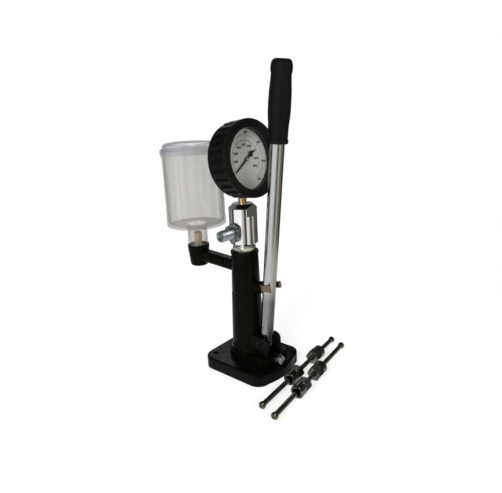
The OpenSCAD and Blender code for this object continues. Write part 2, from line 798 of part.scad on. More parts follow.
// The stem stands upright, and ends in a block that leans with the case
block_w = 18;
block_in = 17.5;
block_top = block_in - case_r;
block_h = 13;
block_front = 5;
stem_top = gauge_z + (block_top - block_h + 1) * cos(gauge_lean);
stem_seat_t = 3;
stem_seat = head_top - stem_bore_l + stem_seat_t;
module gauge_washer() {
  color("#9c5a34") at_column() translate([0, 0, head_top - stem_bore_l])
    tube(stem_seat_t, stem_d / 2, 2 * port_r);
}
module gauge_stem() {
  color("#b08d47") difference() {
    union() {
      at_column() translate([0, 0, stem_seat]) cylinder(h = stem_top - stem_seat, r = stem_d / 2);
      at_gauge() translate([-block_w / 2, block_top - block_h, case_floor + fit])
        cube([block_w, block_h, block_front - case_floor]);
    }
    at_column() translate([0, 0, stem_seat - past])
      cylinder(h = stem_top - stem_seat + 2 * port_r, r = port_r);
    at_gauge() bourdon_path(-fit);
  }
}
module stem_cut(play) {
  at_column() translate([0, 0, head_top]) cylinder(h = stem_top - head_top + past, r = stem_d / 2 + play);
}
module gauge_case() {
  color("#2a2c2e") difference() {
    at_gauge() difference() {
      translate([0, 0, case_back])
        cylinder(h = bezel_front - bezel_t - case_back, r = case_r - fit, $fn = 96);
      translate([0, 0, case_floor]) cylinder(h = bezel_front - case_back, r = case_r - case_wall, $fn = 96);
    }
    stem_cut(run);
  }
}
function rib_outline(n, r_out, r_in) = [
  for (i = [0 : n - 1]) for (c = [[0.06, 0], [0.14, 1], [0.66, 1], [0.74, 0]])
    let (a = 360 * (i + c[0]) / n, r = c[1] == 1 ? r_out : r_in) [r * cos(a), r * sin(a)]
];
boot_r = case_r + boot_wall;
boot_foot = 9;
boot_bevel = 2.4;
boot_inner = 10;
lip_bevel = 1.2;
// The boot is slit from the stem's hole to its back, so that it can be pushed over the stem
boot_slit = 0.8 * stem_d;
module gauge_boot() {
  rib_z = boot_foot - boot_back;
  body_r = boot_r - rib_depth;
  color("#141515") difference() {
    at_gauge() difference() {
      union() {
        translate([0, 0, -boot_back]) bevelled(boot_foot + past, body_r + past, boot_bevel, 0, $fn = 96);
        translate([0, 0, rib_z]) linear_extrude(bezel_front - rib_z + gap)
          polygon(rib_outline(boot_ribs, boot_r - gap, body_r));
        translate([0, 0, bezel_front]) bevelled(lip_l, boot_r, gap / 2, lip_bevel, $fn = 96);
      }
      translate([0, 0, case_back]) cylinder(h = bezel_front - case_back, r = case_r, $fn = 96);
      translate([0, 0, case_back]) cylinder(h = 2 * boot_front, r = mouth_d / 2, $fn = 96);
      translate([0, 0, -2 * boot_back]) cylinder(h = 3 * boot_back, r = case_r - boot_inner, $fn = 96);
    }
    stem_cut(gap);
    at_column() rotate([0, 0, gauge_turn]) translate([-boot_slit / 2, 0, head_top])
      cube([boot_slit, 3 * boot_back, stem_top - head_top]);
  }
}
module gauge_bezel() {
  inner = mouth_d / 2 - gap;
  edge = 0.6;
  glass_top = glass_z + glass_t - bezel_front + bezel_t + fit;
  color("#1d1f20") at_gauge() translate([0, 0, bezel_front - bezel_t]) rotate_extrude($fn = 96) polygon([
    [glass_r + glass_play, fit], [case_r - fit, fit], [case_r - fit, bezel_t - edge],
    [case_r - edge, bezel_t - fit], [inner + edge, bezel_t - fit], [inner, bezel_t - edge],
    [inner, glass_top], [glass_r + glass_play, glass_top]
  ]);
}
module gauge_glass() {
  color([0.85, 0.9, 0.92, 0.3]) at_gauge() translate([0, 0, glass_z])
    cylinder(h = glass_t, r = glass_r, $fn = 96);
}
dial_hole_r = 2.2;
module dial_plate() {
  color("#b9b9ae") at_gauge() translate([0, 0, dial_z]) difference() {
    cylinder(h = dial_t, r = case_r - case_wall - glass_play, $fn = 96);
    translate([0, 0, -past]) cylinder(h = dial_t + 2 * past, r = dial_hole_r);
  }
}
pinion_teeth = 10;
sector_teeth = 80;
gear_m = 0.5;
pinion_r = pinion_teeth * gear_m / 2;
sector_r = sector_teeth * gear_m / 2;
arbor_y = -(pinion_r + sector_r);
gear_z = 3;
gear_t = 2;
plate_low = -3;
plate_high = 7;
plate_t = 1.5;
shaft_r = 1;
hub_r = 3;
pointer_t = 0.6;
pointer_gap = 1.6;
// Half outlines of the needle and of the weight behind the hub, as shares of the pointer's length
NEEDLE = [[1, 0.010], [0.83, 0.030], [0, 0.052]];
WEIGHT = [[-0.26, 0.052], [-0.36, 0.155], [-0.62, 0]];
function mirrored(half) = concat(
  half, [for (i = [len(half) - 1 : -1 : 0]) if (half[i][1] > 0) [half[i][0], -half[i][1]]]
);
module pointer() {
  color("#101010") at_gauge() rotate([0, 0, pointer_zero]) translate([0, 0, dial_z + dial_t + pointer_gap])
    difference() {
      union() {
        linear_extrude(pointer_t) polygon(pointer_l * mirrored(concat(NEEDLE, WEIGHT)));
        translate([0, 0, -pointer_t]) cylinder(h = 3 * pointer_t, r = hub_r);
      }
      translate([0, 0, -past]) cylinder(h = 2 * hub_r, r = shaft_r + fit);
    }
}
// Straight-sided teeth, as shares of a pitch and heights in modules, with play at the sides
TOOTH = [[-0.30, -1.1], [-0.10, 0.6], [0.10, 0.6], [0.30, -1.1]];
function tooth_outline(n, m, first, last) = [
  for (i = [first : last]) for (c = TOOTH)
    let (a = 360 * (i + c[0]) / n, r = n * m / 2 + c[1] * m) [r * cos(a), r * sin(a)]
];
shaft_end = 3;
module pointer_pinion() {
  color("#b79a55") at_gauge() {
    translate([0, 0, gear_z - gear_t / 4]) linear_extrude(1.5 * gear_t)
      polygon(tooth_outline(pinion_teeth, gear_m, 0, pinion_teeth - 1));
    translate([0, 0, plate_low]) cylinder(h = dial_z + dial_t + shaft_end - plate_low, r = shaft_r);
  }
}
// The sector rests with its last teeth at the pinion and has a tail to the right
sector_first = -10;
sector_last = 2;
link_at = 7;
link_r = 2;
module sector_gear() {
  color("#b79a55") at_gauge() translate([0, arbor_y, 0]) {
    translate([0, 0, gear_z]) difference() {
      union() {
        linear_extrude(gear_t) rotate([0, 0, 90])
          polygon(concat([[0, 0]], tooth_outline(sector_teeth, gear_m, sector_first, sector_last)));
        cylinder(h = gear_t, r = hub_r);
        translate([0, -link_r, 0]) cube([link_at, 2 * link_r, gear_t]);
        translate([link_at, 0, 0]) cylinder(h = gear_t, r = link_r);
      }
      translate([link_at, 0, -past]) cylinder(h = gear_t + 2 * past, r = shaft_r);
    }
    translate([0, 0, plate_low]) cylinder(h = plate_high + plate_t - plate_low, r = shaft_r);
  }
}
frame_side = 11;
frame_top = 5;
frame_edge = 7;
frame_low = arbor_y - frame_edge;
post_in = 2;
post_r = 1.6;
module frame_posts(y, from, to) {
  for (x = [-1, 1]) translate([x * (frame_side - post_in), y, from]) cylinder(h = to - from, r = post_r);
}
module movement_frame() {
  color("#a78a48") at_gauge() difference() {
    union() {
      for (z = [plate_low, plate_high]) translate([-frame_side, frame_low, z])
        cube([2 * frame_side, frame_top - frame_low, plate_t]);
      frame_posts(frame_top - post_in, plate_low, plate_high + plate_t);
      frame_posts(frame_low + post_in, case_floor + fit, dial_z);
    }
    for (y = [0, arbor_y]) translate([0, y, plate_low - past])
      cylinder(h = plate_high - plate_low + plate_t + 2 * past, r = shaft_r + run);
  }
}
bourdon_r = 36;
bourdon_start = -80;
bourdon_sweep = 240;
tube_half_w = 4.5;
tube_half_t = 2;
tube_side = 0.5;
module bourdon_path(wall) {
  rotate([0, 0, bourdon_start]) rotate_extrude(angle = bourdon_sweep, $fn = 72)
    translate([bourdon_r, 0]) square([2 * (tube_half_t - wall), 2 * (tube_half_w - wall)], center = true);
}
module bourdon_tube() {
  color("#b08d47") at_gauge() difference() {
    bourdon_path(0);
    bourdon_path(tube_side);
  }
}
link_t = 0.8;
link_half_w = 1;
link_travel = 6;
module tip_link() {
  end = bourdon_start + bourdon_sweep;
  d = bourdon_r * [cos(end), sin(end)] - [link_at, arbor_y];
  // Stops short of the tube's end by the travel of the link
  reach = norm(d) - tube_half_t - link_travel;
  color("#b79a55") at_gauge() translate([link_at, arbor_y, gear_z]) {
    translate([0, 0, -gear_t / 4]) cylinder(h = 1.5 * gear_t, r = shaft_r - run);
    translate([0, 0, gear_t + gap]) rotate([0, 0, atan2(d[1], d[0])]) {
      cylinder(h = link_t, r = link_r);
      translate([0, -link_half_w, 0]) cube([reach, 2 * link_half_w, link_t]);
    }
  }
}

// Fuel cup
cup_r = cup_d / 2;
upper_r = cup_r - 0.6;
neck_r = cup_neck_d / 2;
spigot_r = socket_bore_d / 2 - gap;
seal_t = 3;
spigot_l = socket_bore_l - seal_t;
spigot_wall = 3;
rim_z = cup_z + cup_h;
// Height of the thicker lower part of the cup's wall
band_h = 15;
neck_edge = 0.6;
cup_edge = 4;
foot_edge = 1.4;
// Raised band of the cup below its lid
lid_skirt = 7;
rib_r = cup_r + 1;
rib_h = 6;
rib_top = rim_z - lid_skirt - gap;
module cup_body() {
  color([0.78, 0.77, 0.72, 0.45]) at_cup() rotate_extrude($fn = 96) polygon([
    [spigot_r - spigot_wall, socket_top - spigot_l], [spigot_r, socket_top - spigot_l],
    [spigot_r, socket_top], [neck_r + neck_edge, socket_top],
    [neck_r + neck_edge, socket_top + spigot_wall - 2 * neck_edge], [neck_r, socket_top + spigot_wall],
    [neck_r, cup_z - cup_edge], [neck_r + cup_edge, cup_z], [cup_r - foot_edge, cup_z],
    [cup_r, cup_z + foot_edge],
    [cup_r, cup_z + band_h], [upper_r, cup_z + band_h + neck_edge],
    [upper_r, rib_top - rib_h], [rib_r, rib_top - rib_h + rib_r - upper_r],
    [rib_r, rib_top], [upper_r, rib_top], [upper_r, rim_z],
    [upper_r - cup_wall, rim_z], [upper_r - cup_wall, cup_z + cup_wall + cup_edge],
    [upper_r - cup_wall - cup_edge, cup_z + cup_wall], [neck_r, cup_z + cup_wall],
    [neck_r - cup_wall, cup_z - cup_edge], [neck_r - cup_wall, socket_top + 2 * spigot_wall],
    [spigot_r - spigot_wall, socket_top + spigot_wall]
  ]);
}
lid_r = cup_r + 1.2;
lid_t = 1.8;
lid_step = 2.2;
lid_edge = 0.6;
// Flange round the lid
flange_out = 0.9;
// The dome's outline from its side to its middle: share of its radius, and drop below its top
LID_DOME = [[1, 6.6], [0.944, 3.8], [0.904, 2.5], [0.743, 1.0], [0.562, 0.3], [0, 0]];
module cup_lid() {
  rim_in = upper_r + gap;
  cap_r = cup_r - lid_step;
  inner_r = cap_r - lid_t;
  low = rim_z - lid_skirt;
  top = low + lid_h;
  last = len(LID_DOME) - 1;
  color([0.72, 0.8, 0.88, 0.5]) at_cup() rotate_extrude($fn = 96) polygon(concat(
    [
      [rim_in, low], [lid_r, low], [lid_r + flange_out, low + flange_out],
      [lid_r + flange_out, rim_z - lid_edge],
      [lid_r, rim_z + gap], [cap_r + lid_edge, rim_z + lid_t + gap], [cap_r, rim_z + lid_t + lid_edge]
    ],
    [for (p = LID_DOME) [p[0] * cap_r, top - p[1]]],
    [for (i = [last:-1:0]) [LID_DOME[i][0] * inner_r, top - lid_t - LID_DOME[i][1]]],
    [[inner_r, rim_z + gap], [rim_in, rim_z + gap]]
  ));
}
filter_r = 6.9;
filter_l = 39.5;
filter_wall = 2;
seal_hole_r = 9;
module cup_seal() {
  color("#1a1a1a") at_cup() translate([0, 0, socket_top - socket_bore_l])
    tube(seal_t, socket_bore_d / 2, seal_hole_r);
}
module filter_element() {
  color("#a98d68") at_cup() translate([0, 0, socket_top - socket_bore_l]) difference() {
    bevelled(filter_l, filter_r, 0, filter_wall / 2);
    translate([0, 0, -past]) cylinder(h = filter_l - filter_wall + past, r = filter_r - filter_wall);
  }
}

// Handle: local z runs up the tube, local y points back to the column
tube_low = -17.6;
insert_r = tube_d / 2 - tube_wall;
insert_top = 44;
bush_t = 1.6;
bar_low = 6.5;
bar_high = 1.5;
nose_drop = nose_dip + handle_lean;
nose_reach = nose_l / cos(nose_dip);
tube_pin_d = 4;
tube_pin_wall = 1;
tube_pin_z = 32;
tube_mouth_h = 24.6;
module tube_pin_hole() {
  translate([-tube_d, 0, tube_pin_z]) along_x() cylinder(h = 2 * tube_d, r = tube_pin_d / 2 + fit);
}
module bush_hole() {
  along_x() translate([0, 0, -tube_d]) cylinder(h = 2 * tube_d, r = pin_d / 2 + bush_t + fit);
}
module handle_lever() {
  color("#6c6f71") at_handle() difference() {
    union() {
      translate([0, 0, tube_low]) cylinder(h = insert_top - tube_low, r = insert_r - fit);
      translate([-nose_w / 2, -heel_y, -heel_z - heel_below])
        cube([nose_w, 2 * heel_y, heel_z + heel_below + tube_low + past]);
      translate([-heel_w / 2, -heel_y, -heel_z - heel_below])
        cube([heel_w, heel_y, heel_z + heel_below + tube_low - gap]);
      rotate([-nose_drop, 0, 0]) {
        translate([-nose_w / 2, 0, -bar_low]) cube([nose_w, nose_reach, bar_low + bar_high]);
        translate([-nose_w / 2, nose_reach, 0]) along_x() cylinder(h = nose_w, r = nose_r);
      }
    }
    bush_hole();
    tube_pin_hole();
  }
}
module lever_bush() {
  color("#b8894e") at_handle() along_x() translate([0, 0, gap - ear_in])
    tube(2 * (ear_in - gap), pin_d / 2 + bush_t, pin_d / 2 + run);
}
module handle_tube() {
  color("#a9a8a4") at_handle() difference() {
    translate([0, 0, tube_low]) tube(tube_l - tube_low, tube_d / 2, insert_r);
    bush_hole();
    tube_pin_hole();
    // Mouth at the back for the nose
    translate([-nose_w / 2 - gap, 0, tube_low - past]) cube([nose_w + 2 * gap, tube_d, tube_mouth_h]);
  }
}
module tube_pin() {
  color("#55585a") at_handle() translate([-tube_d / 2, 0, tube_pin_z])
    along_x() tube(tube_d, tube_pin_d / 2, tube_pin_d / 2 - tube_pin_wall);
}
// Height and radius of the grip's outline, from its lower end
GRIP = [
  [0, 15.0], [1, 15.8], [5, 15.8], [7.5, 14.8], [19, 15.0], [28, 15.2], [36, 16.0], [46, 16.6],
  [61, 16.6], [74, 16.2], [84, 15.5], [91, 15.0], [98, 14.7], [102, 15.7], [108, 15.8],
  [113, 15.0], [116, 13.5], [118, 11.0]
];
module grip() {
  low = grip_end - grip_l;
  k = grip_l / GRIP[len(GRIP) - 1][0];
  wider = tube_d / 22;
  color("#131414") at_handle() difference() {
    translate([0, 0, low]) rotate_extrude($fn = 48)
      polygon(concat([[0, 0]], [for (p = GRIP) [p[1] * wider, p[0] * k]], [[0, grip_l]]));
    translate([0, 0, low - past]) cylinder(h = tube_l - low + past, r = tube_d / 2);
  }
}

// Test pipes on the floor, resting on their nuts
pipe_z = max(collar_d, pipe_nut_af) / 2;
// Middle of each pipe from the column's axis, and its turn
pipe_a_at = [17, -99.1];
pipe_a_turn = 4.1;
pipe_b_at = [8, -126.5];
pipe_b_turn = 5.1;
// Middles of the nuts, as shares of half a pipe's length
nut_a_left = -0.202;
nut_a_right = 0.445;
nut_b_left = -0.311;
nut_b_right = 0.168;
pipe_bore_r = 1.2;
cone_l = 7;
cone_bevel = 2;
collar_share = 0.45;
nut_floor = 9;
nut_play = 1.3;
nut_bevel = 1.5;
module at_pipe(at, turn) {
  translate([at[0], column_y + at[1], pipe_z]) rotate([0, 0, turn]) along_x() children();
}
module pipe() {
  half = pipe_l / 2;
  high = cone_d / 2;
  rotate_extrude($fn = 32) polygon([
    [pipe_bore_r, -half], [high - cone_bevel, -half], [high, cone_bevel - half],
    [high, cone_l - cone_bevel - half], [pipe_d / 2, cone_l - half], [pipe_d / 2, half - cone_l],
    [high, half - cone_l + cone_bevel], [high, half - cone_bevel], [high - cone_bevel, half],
    [pipe_bore_r, half]
  ]);
}
// A union nut: a round collar at its open end and a hexagon behind it
module union_nut() {
  collar = pipe_nut_l * collar_share;
  difference() {
    union() {
      rotate([0, 0, 30]) turned_hex(pipe_nut_l - collar, pipe_nut_af);
      translate([0, 0, pipe_nut_l - collar - past])
        bevelled(collar + past, collar_d / 2, 0.1, nut_bevel, $fn = 48);
    }
    translate([0, 0, -past]) cylinder(h = pipe_nut_l + 2 * past, r = pipe_d / 2 + gap);
    translate([0, 0, nut_floor]) cylinder(h = pipe_nut_l, r = cone_d / 2 + nut_play);
  }
}
module nut_at(share, out) {
  translate([0, 0, share * pipe_l / 2]) rotate([0, out > 0 ? 0 : 180, 0])
    translate([0, 0, -pipe_nut_l / 2]) union_nut();
}
module pipe_a() { color("#3b3c35") at_pipe(pipe_a_at, pipe_a_turn) pipe(); }
module pipe_a_nut_left() { color("#4a4c4a") at_pipe(pipe_a_at, pipe_a_turn) nut_at(nut_a_left, -1); }
module pipe_a_nut_right() { color("#4a4c4a") at_pipe(pipe_a_at, pipe_a_turn) nut_at(nut_a_right, 1); }
module pipe_b() { color("#3b3c35") at_pipe(pipe_b_at, pipe_b_turn) pipe(); }
module pipe_b_nut_left() { color("#4a4c4a") at_pipe(pipe_b_at, pipe_b_turn) nut_at(nut_b_left, -1); }
module pipe_b_nut_right() { color("#4a4c4a") at_pipe(pipe_b_at, pipe_b_turn) nut_at(nut_b_right, 1); }

body_casting();
bottom_plug();
bottom_plug_washer();
pivot_pin();
pin_rings();
stop_screw();
stop_washer();
handle_clip();
clip_screw();
pump_barrel();
barrel_seal();
upper_spring_seat();
plunger_spring();
plunger();
tappet();
lower_spring_seat();
lock_nut();
pump_head();
valve_seat();
valve_ball();
valve_spring();
valve_cap();
outlet_union();
outlet_washer();
gauge_washer();
gauge_stem();
gauge_case();
gauge_boot();
gauge_bezel();
gauge_glass();
dial_plate();
pointer();
pointer_pinion();
bourdon_tube();
movement_frame();
sector_gear();
tip_link();
cup_body();
cup_lid();
cup_seal();
filter_element();
handle_lever();
lever_bush();
handle_tube();
tube_pin();
grip();
pipe_a();
pipe_a_nut_left();
pipe_a_nut_right();
pipe_b();
pipe_b_nut_left();
pipe_b_nut_right();
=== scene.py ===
import json
import math

import bmesh
import bpy
from mathutils import Matrix, Vector


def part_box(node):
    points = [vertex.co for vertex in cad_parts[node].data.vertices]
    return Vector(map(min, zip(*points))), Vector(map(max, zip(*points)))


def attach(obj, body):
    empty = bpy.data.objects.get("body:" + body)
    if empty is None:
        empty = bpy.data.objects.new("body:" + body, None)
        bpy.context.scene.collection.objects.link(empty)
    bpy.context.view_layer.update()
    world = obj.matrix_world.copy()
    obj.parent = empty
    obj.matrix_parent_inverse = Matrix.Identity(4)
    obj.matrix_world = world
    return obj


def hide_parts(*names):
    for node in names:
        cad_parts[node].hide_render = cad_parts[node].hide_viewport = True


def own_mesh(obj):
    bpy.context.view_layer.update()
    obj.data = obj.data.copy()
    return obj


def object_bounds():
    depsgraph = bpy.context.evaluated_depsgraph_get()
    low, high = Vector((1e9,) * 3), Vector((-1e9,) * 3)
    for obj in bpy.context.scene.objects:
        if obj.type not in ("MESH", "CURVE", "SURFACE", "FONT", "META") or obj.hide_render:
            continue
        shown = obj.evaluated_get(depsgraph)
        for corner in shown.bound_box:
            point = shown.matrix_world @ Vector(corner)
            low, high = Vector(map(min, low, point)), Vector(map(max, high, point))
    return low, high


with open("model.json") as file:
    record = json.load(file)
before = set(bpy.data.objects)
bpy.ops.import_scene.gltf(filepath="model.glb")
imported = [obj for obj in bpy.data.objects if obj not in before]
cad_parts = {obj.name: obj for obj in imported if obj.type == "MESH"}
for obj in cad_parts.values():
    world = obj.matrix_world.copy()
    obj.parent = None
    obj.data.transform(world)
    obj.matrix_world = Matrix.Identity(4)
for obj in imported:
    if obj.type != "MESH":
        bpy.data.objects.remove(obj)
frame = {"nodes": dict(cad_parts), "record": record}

MM = 0.001
CAD_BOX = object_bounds()
NODES = frame["nodes"]
JOINTS = {j["name"]: j for j in frame["record"]["behaviour"]["joints"]}
SLOT_OF = {s["node"]: s["material_slot"] for s in frame["record"]["subparts"]}


# Camera, at the photograph's viewing angle

CAMERA_PLACE = Vector((-0.53534, -0.46532, 0.42359))
CAMERA_YAW = math.radians(-51.23)
CAMERA_PITCH = math.radians(15.93)
CAMERA_ROLL = math.radians(-1.94)
PHOTO_WIDTH, PHOTO_HEIGHT = 502, 493
FOCAL_PIXELS = 446.57
CENTRE_PIXEL = (262.98, 241.72)
SENSOR_MM = 36
CLIP_NEAR, CLIP_FAR = 0.01, 60


def make_camera():
    yaw, pitch, roll = CAMERA_YAW, CAMERA_PITCH, CAMERA_ROLL
    ahead = Vector((-math.sin(yaw) * math.cos(pitch), math.cos(yaw) * math.cos(pitch), -math.sin(pitch)))
    level = Vector((math.cos(yaw), math.sin(yaw), 0))
    above = level.cross(ahead)
    right = level * math.cos(roll) + above * math.sin(roll)
    up = above * math.cos(roll) - level * math.sin(roll)
    data = bpy.data.cameras.new("camera")
    data.sensor_fit = "HORIZONTAL"
    data.sensor_width = SENSOR_MM
    data.lens = FOCAL_PIXELS / PHOTO_WIDTH * SENSOR_MM
    data.shift_x = (PHOTO_WIDTH / 2 - CENTRE_PIXEL[0]) / PHOTO_WIDTH
    data.shift_y = (CENTRE_PIXEL[1] - PHOTO_HEIGHT / 2) / PHOTO_WIDTH
    data.clip_start, data.clip_end = CLIP_NEAR, CLIP_FAR
    camera = bpy.data.objects.new("camera", data)
    bpy.context.scene.collection.objects.link(camera)
    turn = Matrix((right, up, -ahead)).transposed().to_4x4()
    camera.matrix_world = Matrix.Translation(CAMERA_PLACE) @ turn
    bpy.context.scene.camera = camera


make_camera()


# Materials

# Sockets of a Mix node for colours, which share their names with hidden ones
MIX_SHARE, MIX_FIRST, MIX_SECOND = 0, 6, 7
MIX_RESULT = 2


def fill_ramp(node, stops):
    """Stops are pairs of a place from 0 to 1 and a colour."""
    elements = node.color_ramp.elements
    while len(elements) < len(stops):
        elements.new(0.5)
    for element, (position, colour) in zip(elements, stops):
        element.position = position
        element.color = (*colour, 1)


class Look:
    """A node material with short names for what is used again and again."""

    def __init__(self, name):
        self.material = bpy.data.materials.new(name)
        self.material.use_nodes = True
        self.tree = self.material.node_tree
        self.shader = self.tree.nodes["Principled BSDF"]
        self.texture = self.add("ShaderNodeTexCoord")
        self.place = self.texture.outputs["Object"]
        self.normal = None

    def add(self, kind, **settings):
        node = self.tree.nodes.new(kind)
        for key, value in settings.items():
            setattr(node, key, value)
        return node

    def join(self, source, target):
        self.tree.links.new(source, target)

    def set(self, **values):
        """Sets the shader's sockets, with _ for the spaces in their names."""
        for key, value in values.items():
            self.shader.inputs[key.replace("_", " ")].default_value = value

    def stretched(self, scale, rotation=(0, 0, 0)):
        node = self.add("ShaderNodeMapping")
        node.inputs["Scale"].default_value = scale
        node.inputs["Rotation"].default_value = rotation
        self.join(self.place, node.inputs["Vector"])
        return node.outputs["Vector"]

    def noise(self, scale, detail=3.0, rough=0.55, place=None):
        node = self.add("ShaderNodeTexNoise")
        node.inputs["Scale"].default_value = scale
        node.inputs["Detail"].default_value = detail
        node.inputs["Roughness"].default_value = rough
        self.join(place or self.place, node.inputs["Vector"])
        return node.outputs["Fac"]

    def cells(self, scale):
        node = self.add("ShaderNodeTexVoronoi")
        node.inputs["Scale"].default_value = scale
        self.join(self.place, node.inputs["Vector"])
        return node.outputs["Distance"]

    def spread(self, value, low, high, start=0.3, end=0.7):
        """Low where value is at start or below, high at end or above, and even between them."""
        node = self.add("ShaderNodeMapRange")
        self.join(value, node.inputs["Value"])
        node.inputs["From Min"].default_value = start
        node.inputs["From Max"].default_value = end
        node.inputs["To Min"].default_value = low
        node.inputs["To Max"].default_value = high
        return node.outputs["Result"]

    def ramp(self, value, *stops):
        node = self.add("ShaderNodeValToRGB")
        fill_ramp(node, stops)
        self.join(value, node.inputs["Fac"])
        return node.outputs["Color"]

    def blend(self, share, body, colour):
        """The body's colours where share is 0, the one colour where it is 1."""
        node = self.add("ShaderNodeMix", data_type="RGBA")
        self.join(share, node.inputs[MIX_SHARE])
        self.join(body, node.inputs[MIX_FIRST])
        node.inputs[MIX_SECOND].default_value = (*colour, 1)
        return node.outputs[MIX_RESULT]

    def maths(self, operation, first, second):
        node = self.add("ShaderNodeMath", operation=operation)
        for source, socket in zip((first, second), node.inputs):
            if isinstance(source, (int, float)):
                socket.default_value = source
            else:
                self.join(source, socket)
        return node.outputs[0]

    def colour(self, source):
        self.join(source, self.shader.inputs["Base Color"])

    def roughness(self, source):
        self.join(source, self.shader.inputs["Roughness"])

    def bump(self, height, strength, distance):
        """Adds a bump on top of those that are there."""
        node = self.add("ShaderNodeBump")
        node.inputs["Strength"].default_value = strength
        node.inputs["Distance"].default_value = distance
        self.join(height, node.inputs["Height"])
        if self.normal:
            self.join(self.normal, node.inputs["Normal"])
        self.normal = node.outputs["Normal"]
        self.join(self.normal, self.shader.inputs["Normal"])

    def edges(self, low, high):
        """0 on flats and hollows, 1 on sharp edges."""
        point = self.add("ShaderNodeNewGeometry").outputs["Pointiness"]
        return self.spread(point, 0, 1, low, high)

    def facing(self, direction, low, high):
        """1 on surfaces that face the direction, in the piece's own frame, 0 on the others."""
        dot = self.add("ShaderNodeVectorMath", operation="DOT_PRODUCT")
        self.join(self.texture.outputs["Normal"], dot.inputs[0])
        dot.inputs[1].default_value = direction
        return self.spread(dot.outputs["Value"], 0, 1, low, high)


def black_paint():
    look = Look("black_paint")
    look.set(Specular_IOR_Level=0.03)
    body = look.ramp(look.noise(38, 4), (0.3, (0.0018, 0.0024, 0.0016)), (0.7, (0.0042, 0.0052, 0.0034)))
    # Painted reflection: brownish vertical streaks down the paint, standing in for reflections
    reflection_streaks = look.noise(1, 3, 0.6, look.stretched((150, 150, 1.5)))
    body = look.blend(look.spread(reflection_streaks, 0, 0.7, 0.52, 0.75), body, (0.0115, 0.0095, 0.005))
    specks = look.spread(look.noise(55, 6, 0.7), 0.0, 0.03)
    dust = look.maths("MULTIPLY", look.facing((0, 0, 1), 0.6, 1.0), specks)
    body = look.blend(dust, body, (0.07, 0.075, 0.04))
    # Lighter bluish edges: partly worn paint, partly painted highlight along the edges
    edge_wear_and_highlight = look.maths("MULTIPLY", look.edges(0.57, 0.68), look.spread(look.noise(120, 4), 0, 0.3))
    look.colour(look.blend(edge_wear_and_highlight, body, (0.04, 0.048, 0.055)))
    look.roughness(look.spread(look.noise(90, 5), 0.16, 0.34))
    look.bump(look.noise(420, 2), 0.08, 0.0004)
    look.bump(look.noise(70, 3), 0.14, 0.0009)
    return look.material


def black_rubber():
    look = Look("black_rubber")
    look.set(Specular_IOR_Level=0.09)
    body = look.ramp(look.noise(70, 5), (0.25, (0.0028, 0.0038, 0.0028)), (0.75, (0.0055, 0.007, 0.0052)))
    rubbed = look.maths("MULTIPLY", look.edges(0.52, 0.58), look.spread(look.noise(200, 4), 0.0, 0.25))
    look.colour(look.blend(rubbed, body, (0.02, 0.022, 0.019)))
    look.roughness(look.spread(look.noise(150, 4), 0.42, 0.62))
    look.bump(look.cells(1800), 0.12, 0.0002)
    look.bump(look.noise(500, 3), 0.15, 0.0003)
    return look.material


def seal_rubber():
    look = Look("seal_rubber")
    look.colour(look.ramp(look.noise(300), (0.3, (0.01, 0.01, 0.01)), (0.7, (0.022, 0.021, 0.02))))
    look.roughness(look.spread(look.noise(400), 0.4, 0.6))
    return look.material


def turned_metal(name, dark, light, rough, turning=(1, 1, 60), ring=0.05, stain=None):
    """Metal with fine tool marks, stretched by turning, and wide stains."""
    look = Look(name)
    look.set(Metallic=1.0)
    marks = look.noise(60, 6, 0.7, look.stretched(turning))
    body = look.ramp(marks, (0.3, dark), (0.7, light))
    if stain:
        body = look.blend(look.spread(look.noise(26, 5, 0.65), 0.0, 0.75, 0.42, 0.72), body, stain)
    look.colour(body)
    smears = look.noise(95, 5)
    wear = look.maths("ADD", look.maths("MULTIPLY", marks, 0.4), smears)
    look.roughness(look.spread(wear, *rough, 0.4, 1.0))
    look.bump(marks, ring, 0.0002)
    return look.material


def zinc():
    look = Look("zinc")
    look.set(Metallic=1.0)
    film = look.noise(85, 4, 0.6)
    body = look.ramp(film, (0.25, (0.20, 0.26, 0.32)), (0.45, (0.34, 0.38, 0.41)),
                     (0.6, (0.33, 0.34, 0.30)), (0.75, (0.24, 0.31, 0.36)))
    grime = look.spread(look.noise(240, 5, 0.7), 0.0, 0.6, 0.45, 0.75)
    look.colour(look.blend(grime, body, (0.13, 0.13, 0.11)))
    look.roughness(look.spread(look.noise(180, 4), 0.2, 0.4))
    look.bump(look.noise(700, 3), 0.12, 0.0002)
    return look.material


def nut_metal():
    look = Look("nut_steel")
    look.set(Metallic=1.0)
    # Lighter bluish patches and bare edges: partly worn metal, partly painted highlights
    body = look.ramp(look.noise(65, 5, 0.65), (0.28, (0.03, 0.029, 0.02)), (0.5, (0.08, 0.074, 0.06)),
                     (0.72, (0.2, 0.21, 0.24)))
    bare_and_highlit = look.maths("MULTIPLY", look.edges(0.56, 0.68), look.spread(look.noise(150, 4), 0.0, 0.6))
    look.colour(look.blend(bare_and_highlit, body, (0.42, 0.44, 0.46)))
    look.roughness(look.spread(look.noise(120, 4), 0.12, 0.3))
    look.bump(look.noise(450, 4), 0.15, 0.0003)
    return look.material


def pipe_metal():
    look = Look("pipe_steel")
    look.set(Metallic=1.0)
    drawn = look.noise(40, 6, 0.7, look.stretched((1.5, 40, 40)))
    body = look.ramp(drawn, (0.3, (0.05, 0.046, 0.033)), (0.7, (0.17, 0.158, 0.12)))
    rust = look.spread(look.noise(60, 6, 0.7), 0.0, 0.6, 0.5, 0.75)
    look.colour(look.blend(rust, body, (0.075, 0.052, 0.03)))
    look.roughness(look.spread(look.noise(110, 4), 0.16, 0.34))
    look.bump(drawn, 0.08, 0.0002)
    return look.material


TUBE_LEAN = math.radians(5.7)
# Level direction of the tube's side that is painted browner and darker, as painted shade and reflection
SHADED_SIDE = (0.626, -0.78, 0)
# Below the clip the tube is painted darker, as painted shade, most on its browner side: heights where the
# painted shade starts to thin and where it ends
SHADED_HEIGHTS = (0.128, 0.152)


